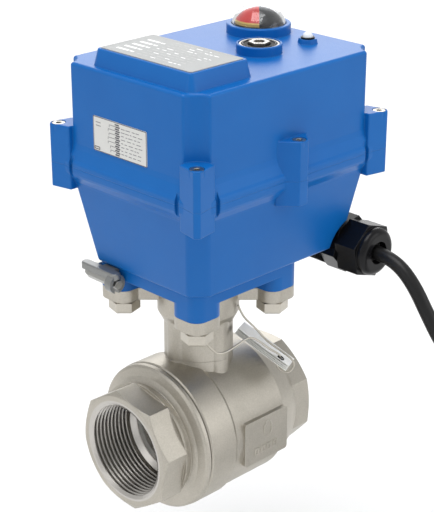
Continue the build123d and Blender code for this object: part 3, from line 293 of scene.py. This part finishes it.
MATERIALS = {
    "cast_stainless": cast_steel("cast_stainless"),
    "machined_steel": grained("machined_steel", (0.50, 0.48, 0.45), 0.28, 1.0, 0.10, 1200, 0.004, 0.2 * MM),
    "bolt_steel": grained("bolt_steel", (0.52, 0.49, 0.43), 0.33, 1.0, 0.12, 1300, 0.006, 0.35 * MM),
    "seat_ptfe": grained("seat_ptfe", (0.80, 0.79, 0.75), 0.45, 0.0, 0.04, 700, 0.004),
    "seal_rubber": grained("seal_rubber", (0.018, 0.018, 0.018), 0.65, 0.0, 0.2, 900, 0.01),
    "blue_shell": blue_shell(),
    "gear_steel": grained("gear_steel", (0.40, 0.40, 0.41), 0.35, 1.0, 0.10, 1100, 0.004),
    "gear_brass": grained("gear_brass", (0.60, 0.44, 0.17), 0.30, 1.0, 0.10, 1100, 0.004),
    "black_plastic": grained("black_plastic", (0.005, 0.005, 0.006), 0.24, 0.0, 0.2, 600, 0.004, 0.5 * MM,
                             specular=0.22),
    "board_green": grained("board_green", (0.02, 0.16, 0.06), 0.4, 0.0, 0.2, 400, 0.01),
    "terminal_grey": grained("terminal_grey", (0.30, 0.33, 0.31), 0.45, 0.0, 0.08, 800, 0.005),
    "motor_can": grained("motor_can", (0.35, 0.36, 0.38), 0.35, 0.9, 0.08, 900, 0.004),
    "indicator_red": drum_paint("indicator_red", (0.66, 0.03, 0.025), (0.78, 0.52, 0.12), 185.9 * MM),
    "indicator_black": drum_paint("indicator_black", (0.02, 0.02, 0.022), (0.02, 0.02, 0.022), 185.9 * MM),
    "clear_dome": clear_plastic(),
    "lamp_white": grained("lamp_white", (0.80, 0.82, 0.84), 0.15, 0.0, 0.03, 500, 0.002),
    "label_silver": grained("label_silver", (0.30, 0.31, 0.31), 0.42, 0.0, 0.03, 300, 0.0005, specular=0.3),
    "label_light": grained("label_light", (0.66, 0.66, 0.64), 0.40, 0.0, 0.03, 300, 0.0005, specular=0.3),
    "print_dark": grained("print_dark", (0.06, 0.06, 0.07), 0.5, 0.0, 0.2, 900, 0.001),
    "print_grey_text": grained("print_grey_text", (0.22, 0.22, 0.23), 0.5, 0.0, 0.2, 900, 0.001),
    "print_grey": grained("print_grey", (0.40, 0.40, 0.40), 0.4, 0.0, 0.05, 900, 0.001),
    "print_white": grained("print_white", (0.86, 0.86, 0.86), 0.35, 0.0, 0.03, 900, 0.001),
    "key_steel": grained("key_steel", (0.42, 0.42, 0.40), 0.35, 1.0, 0.12, 1000, 0.006, 0.25 * MM,
                         (1.0, 0.2, 1.0)),
    "holder_grey": grained("holder_grey", (0.24, 0.245, 0.24), 0.30, 0.5, 0.10, 900, 0.006, 0.3 * MM),
    "cable_black": grained("cable_black", (0.008, 0.008, 0.008), 0.38, 0.0, 0.25, 700, 0.02, specular=0.3),
    "core_insulation": grained("core_insulation", (0.10, 0.12, 0.40), 0.4, 0.0, 0.1, 900, 0.004),
    "tag_paper": grained("tag_paper", (0.93, 0.93, 0.90), 0.45, 0.0, 0.07, 1300, 0.30, specular=0.4),
}


def paint_cad_nodes():
    """Every CAD node takes its slot's detailed material."""
    slots = {part["node"]: part["material_slot"] for part in frame["record"]["subparts"]}
    for name, piece in NODES.items():
        for place in piece.material_slots:
            place.material = MATERIALS[slots[name]]


make_camera()
make_studio()
paint_cad_nodes()

# ---------------------------------------------------------------- cords

CABLE_RADIUS = 3.5 * MM
HANK_TOP_Z = 4.0 * MM
HANK_END_Z = 8.0 * MM
TAG_WIRE_RADIUS = 0.5 * MM

CABLE_ROUTE = [
    (115.75, -43.5, 83.0), (115.75, -57.0, 83.0), (116.15, -67.5, 79.8), (116.55, -76.0, 72.0),
    (116.65, -83.5, 61.5), (116.35, -92.5, 50.0), (115.95, -103.0, 41.5), (115.15, -111.5, 30.0),
    (114.75, -114.2, 14.0)]

TAG_CENTRE = Vector((69.4, -24.4, 39.0))
TAG_ALONG = Vector((0.3576, -0.7784, -0.5159))
TAG_NORMAL = Vector((0.2980, -0.4284, 0.8530))
TAG_ACROSS = TAG_NORMAL.cross(TAG_ALONG)


def by_tag(along, across, height):
    """A place in millimetres along, across and above the tag's lower leaf."""
    return TAG_CENTRE + TAG_ALONG * along + TAG_ACROSS * across + TAG_NORMAL * height


TAG_WIRE_ROUTE = [
    (28.75, -23.5, 57.4), (31.25, -27.5, 51.0), (36.05, -29.2, 48.3), (44.25, -30.2, 50.1),
    (51.85, -31.2, 53.0), (57.15, -32.6, 49.1), (63.25, -34.6, 43.0), by_tag(9.5, -4.6, 4.2),
    by_tag(9.5, -4.6, -2.6), by_tag(17.0, -3.0, -2.6), by_tag(17.0, -1.4, 4.0), by_tag(8.2, -1.9, 4.7),
    by_tag(-0.5, -2.2, 4.2), (65.65, -22.0, 49.6), (59.25, -19.4, 56.8), (57.25, -18.6, 63.0)]


def make_curve(name, points, radius, material):
    """A round cord along one smooth open spline."""
    data = bpy.data.curves.new(name, "CURVE")
    data.dimensions = "3D"
    data.bevel_depth = radius
    data.bevel_resolution = 6
    data.resolution_u = 12
    data.use_fill_caps = True
    spline = data.splines.new("NURBS")
    spline.points.add(len(points) - 1)
    for control, point in zip(spline.points, points):
        control.co = (*point, 1.0)
    spline.order_u = 3
    spline.use_endpoint_u = True
    cord = bpy.data.objects.new(name, data)
    bpy.context.collection.objects.link(cord)
    data.materials.append(material)
    return cord


def hank_points(start):
    """The spare length's turns: down, round, up, round, down, round, and up beside the first turn."""
    low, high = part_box("cable_hank")
    bend = (high.x - low.x) / 2 - CABLE_RADIUS
    centre_x = (high.x + low.x) / 2
    top = HANK_TOP_Z - bend - CABLE_RADIUS
    bottom = low.z + bend + CABLE_RADIUS
    front = high.y - CABLE_RADIUS
    back = low.y + CABLE_RADIUS
    end = HANK_END_Z
    arc_steps = 4
    step = pi / arc_steps
    corner = bend / cos(step / 2)
    reach = bend * tan(step / 2)
    points = []

    def bend_round(middle_z, first_angle, y):
        for k in range(arc_steps):
            angle = first_angle + (k + 0.5) * step
            points.append(Vector((centre_x + corner * cos(angle), y, middle_z + corner * sin(angle))))

    points.append(Vector((centre_x - bend, front, (start.z + bottom) / 2)))
    bend_round(bottom, pi, front)
    points.append(Vector((centre_x + bend, front, (top + bottom) / 2)))
    bend_round(top, 0.0, front)
    points.append(Vector((centre_x - bend, (front + back) / 2, top - reach)))
    points.append(Vector((centre_x - bend, back, (top + bottom) / 2)))
    bend_round(bottom, pi, back)
    points.append(Vector((centre_x + bend, back, (top + bottom) / 2)))
    points.append(Vector((centre_x + bend, back, end)))
    return points


def make_cords():
    """The power cable with its spare length, and the tag's wire."""
    route = [Vector(point) * MM for point in CABLE_ROUTE]
    cable = make_curve("power_cable_cord", route + hank_points(route[-1]), CABLE_RADIUS,
                       MATERIALS["cable_black"])
    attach(cable, "assembly")
    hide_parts("power_cable", "cable_hank")
    wire_route = [Vector(point) * MM for point in TAG_WIRE_ROUTE]
    wire = make_curve("tag_wire_cord", wire_route, TAG_WIRE_RADIUS, MATERIALS["bolt_steel"])
    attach(wire, "assembly")
    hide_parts("tag_wire")


# ---------------------------------------------------------------- detailed pieces

PRINT_THICKNESS = 0.04
BOX_FACES = ((0, 2, 3, 1), (4, 5, 7, 6), (0, 1, 5, 4), (2, 6, 7, 3), (0, 4, 6, 2), (1, 3, 7, 5))


def add_bar(bm, centre, along, across, normal, size):
    """A small bar with its sides along three directions; centre and size are in metres."""
    corners = []
    for k in (-0.5, 0.5):
        for j in (-0.5, 0.5):
            for i in (-0.5, 0.5):
                corners.append(bm.verts.new(centre + along * (i * size[0]) + across * (j * size[1])
                                            + normal * (k * size[2])))
    for loop in BOX_FACES:
        bm.faces.new([corners[index] for index in loop])


def printed(name, origin, along, across, marks, material):
    """Thin printed bars on a label; marks are (along, across, length, width) in millimetres."""
    bm = bmesh.new()
    normal = along.cross(across)
    for place_along, place_across, length, width in marks:
        centre = (origin + along * place_along + across * place_across) * MM
        add_bar(bm, centre, along, across, normal, (length * MM, width * MM, PRINT_THICKNESS * MM))
    piece = finish_mesh(name, bm)
    piece.data.materials.append(MATERIALS[material])
    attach(piece, "assembly")


def border(half_along, half_across, length, width, line):
    """The four lines round a label, as marks; length and width are those of its lines."""
    return [(0, half_across, length, line), (0, -half_across, length, line),
            (-half_along, 0, line, width), (half_along, 0, line, width)]


def make_side_print():
    """Plain bars that stand for the wiring diagram and the lines of text on the side label, and dark lines
    round its edge that are partly a printed border, partly painted shade.
    """
    origin = Vector((5.83, 3.7, 150.6))
    along, across = Vector((0, -1, 0)), Vector((0, 0, 1))
    chance = Random(3)
    # the dark lines round the label's very edge: partly a printed border, partly painted shade along the
    # label's edge
    dark = border(17.2, 7.8, 34.6, 15.3, 0.3)
    # the chain of terminals down the middle
    dark += [(-1.6 + 0.5 * (row % 2), 6.8 - 0.98 * row, 2.7, 0.62) for row in range(15)]
    # the small frame in the corner
    dark += [(-15.0, -6.0, 3.4, 0.35), (-15.0, -7.0, 3.4, 0.35),
             (-16.6, -6.5, 0.35, 1.2), (-13.4, -6.5, 0.35, 1.2)]
    grey = []
    for row in range(7):
        height = 5.9 - 1.9 * row
        length = 3.2 + 2.6 * chance.random()
        grey.append((-2.6 - length / 2, height, length, 0.28))
        grey.append((-2.8 - length, height - 0.5, 0.28, 1.1))
    for row in range(2):
        grey.append((-14.0, 5.4 - 1.5 * row, 3.2, 0.4))
    for row in range(8):
        height = 5.6 - 1.65 * row
        start = 1.0
        while start < 12.5:
            length = 0.9 + 1.9 * chance.random()
            grey.append((start + length / 2, height + 0.15 * chance.random(), length, 0.34))
            start += length + 0.45 + 0.9 * chance.random()
    printed("side_print_dark", origin, along, across, dark, "print_dark")
    printed("side_print_grey", origin, along, across, grey, "print_grey_text")


def make_top_print():
    """Pale and grey bars that stand for the text on the cover's label."""
    origin = Vector((28.25, -5.8, 187.62))
    along, across = Vector((0, -1, 0)), Vector((1, 0, 0))
    chance = Random(5)
    white = []
    for row in range(5):
        white.append((-19.5, -10.5 + 4.6 * row, 7.6, 1.5))
        white.append((-13.6, -10.5 + 4.6 * row, 2.4, 1.1))
    grey = []
    for row in range(9):
        start = -9.5
        stop = 4.0 + 18.0 * chance.random()
        while start < stop:
            length = 1.2 + 2.8 * chance.random()
            target = white if chance.random() < 0.45 else grey
            target.append((start + length / 2, 12.0 - 2.9 * row, length, 0.55))
            start += length + 0.7 + 1.1 * chance.random()
    grey += border(27.6, 14.9, 55.0, 29.6, 0.25)
    printed("top_print_white", origin, along, across, white, "print_white")
    printed("top_print_grey", origin, along, across, grey, "print_grey")


TAG_LENGTH = 30.0
TAG_WIDTH = 15.0
TAG_HOLE = (9.5, -4.6)
TAG_HOLE_RADIUS = 1.2
LEAF_THICKNESS = 0.16
LEAF_STEPS = (60, 30)
# each leaf's opening in degrees, its lift at the fold and its curl, in millimetres
LEAVES = ((0.0, 0.05, 0.3), (2.4, 0.2, 0.9), (5.2, 0.35, 0.5), (8.0, 0.6, 1.0))


def leaf_corner(i, j, side, leaf):
    """A corner of a leaf's grid, i along the tag and j from the fold; side is 0 below and 1 above."""
    opening, lift, curl = leaf
    angle = radians(opening)
    half_length = TAG_LENGTH / 2
    along = -half_length + TAG_LENGTH * i / LEAF_STEPS[0]
    reach = TAG_WIDTH * j / LEAF_STEPS[1]
    bend = curl * (reach / TAG_WIDTH) ** 2 * (0.35 + 0.65 * (along / half_length) ** 2) * 0.5
    height = lift + reach * sin(angle) + bend + side * LEAF_THICKNESS
    return by_tag(along, TAG_WIDTH / 2 - reach * cos(angle), height) * MM


def add_leaf(bm, leaf):
    """One closed leaf of card, with the hole cut out of its grid."""
    hole_along, hole_reach = TAG_HOLE[0], TAG_WIDTH / 2 - TAG_HOLE[1]
    kept = set()
    for i in range(LEAF_STEPS[0]):
        for j in range(LEAF_STEPS[1]):
            along = TAG_LENGTH * ((i + 0.5) / LEAF_STEPS[0] - 0.5)
            reach = TAG_WIDTH * (j + 0.5) / LEAF_STEPS[1]
            if (along - hole_along) ** 2 + (reach - hole_reach) ** 2 > TAG_HOLE_RADIUS ** 2:
                kept.add((i, j))
    made = {}

    def corner(place, side):
        key = (*place, side)
        if key not in made:
            made[key] = bm.verts.new(leaf_corner(*place, side, leaf))
        return made[key]

    for i, j in sorted(kept):
        square = [(i, j), (i + 1, j), (i + 1, j + 1), (i, j + 1)]
        bm.faces.new([corner(place, 1) for place in reversed(square)])
        bm.faces.new([corner(place, 0) for place in square])
        beside = ((0, -1), (1, 0), (0, 1), (-1, 0))
        for (di, dj), first, second in zip(beside, square, square[1:] + square[:1]):
            if (i + di, j + dj) not in kept:
                bm.faces.new([corner(first, 1), corner(second, 1), corner(second, 0), corner(first, 0)])


def make_booklet():
    """The tag: card leaves that open from a fold, each a little curled, with a hole near the corner."""
    bm = bmesh.new()
    for leaf in LEAVES:
        add_leaf(bm, leaf)
    bmesh.ops.recalc_face_normals(bm, faces=bm.faces)
    booklet = finish_mesh("tag_booklet", bm)
    booklet.data.materials.append(MATERIALS["tag_paper"])
    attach(booklet, "assembly")
    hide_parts("instruction_tag")
    return booklet


def make_ring(name, centre, profile, axis, steps, slot):
    """A ring turned round an axis from a closed (radius, along) profile in millimetres."""
    bm = bmesh.new()
    first = axis.orthogonal().normalized()
    second = axis.cross(first)
    rings = []
    for step in range(steps):
        angle = 2 * pi * step / steps
        outward = first * cos(angle) + second * sin(angle)
        rings.append([bm.verts.new((centre + outward * radius + axis * along) * MM)
                      for radius, along in profile])
    for step in range(steps):
        here, there = rings[step], rings[(step + 1) % steps]
        for k in range(len(profile)):
            following = (k + 1) % len(profile)
            bm.faces.new([here[k], there[k], there[following], here[following]])
    bmesh.ops.recalc_face_normals(bm, faces=bm.faces)
    piece = finish_mesh(name, bm, smooth=True)
    piece.data.set_sharp_from_angle(angle=radians(30))
    piece.data.materials.append(MATERIALS[slot])
    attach(piece, "assembly")


def make_override_rings():
    """A bright ring round the hand drive's recess and a dark groove inside it."""
    low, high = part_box("override_seal")
    centre = (low + high) / (2 * MM)
    outer = (high.x - low.x) / (2 * MM)
    centre.z = high.z / MM
    for name, radius, width, slot in (("override_trim", outer - 0.7, 0.9, "machined_steel"),
                                      ("override_groove", outer - 2.0, 0.7, "black_plastic")):
        profile = [(radius - width / 2, 0.0), (radius - width / 2, 0.22), (radius - width / 4, 0.34),
                   (radius + width / 4, 0.34), (radius + width / 2, 0.22), (radius + width / 2, 0.0)]
        make_ring(name, centre, profile, Vector((0, 0, 1)), 96, slot)


def make_lamp_ring():
    """The dark bezel round the foot of the lamp's bead."""
    low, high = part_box("lamp_lens")
    centre = (low + high) / (2 * MM)
    bead_height = 3.2
    centre.z = high.z / MM - bead_height
    profile = [(2.5, 0.0), (2.5, 0.7), (2.7, 0.85), (3.1, 0.85), (3.3, 0.6), (3.3, 0.0)]
    make_ring("lamp_bezel", centre, profile, Vector((0, 0, 1)), 64, "black_plastic")


def make_tag_hole_shade():
    """A thin dark ring on the upper leaf round the hole and the wire: painted shade of the hole."""
    profile = [(1.15, 0.0), (1.15, 0.3), (1.3, 0.42), (1.6, 0.42), (1.8, 0.25), (1.8, 0.0)]
    # painted shade: a black ring that stands for the shade in the tag's hole
    make_ring("tag_hole_shade", by_tag(*TAG_HOLE, 2.7), profile, TAG_NORMAL.normalized(), 48, "black_plastic")


booklet = make_booklet()
make_tag_hole_shade()
make_override_rings()
make_lamp_ring()
make_side_print()
make_top_print()
make_cords()
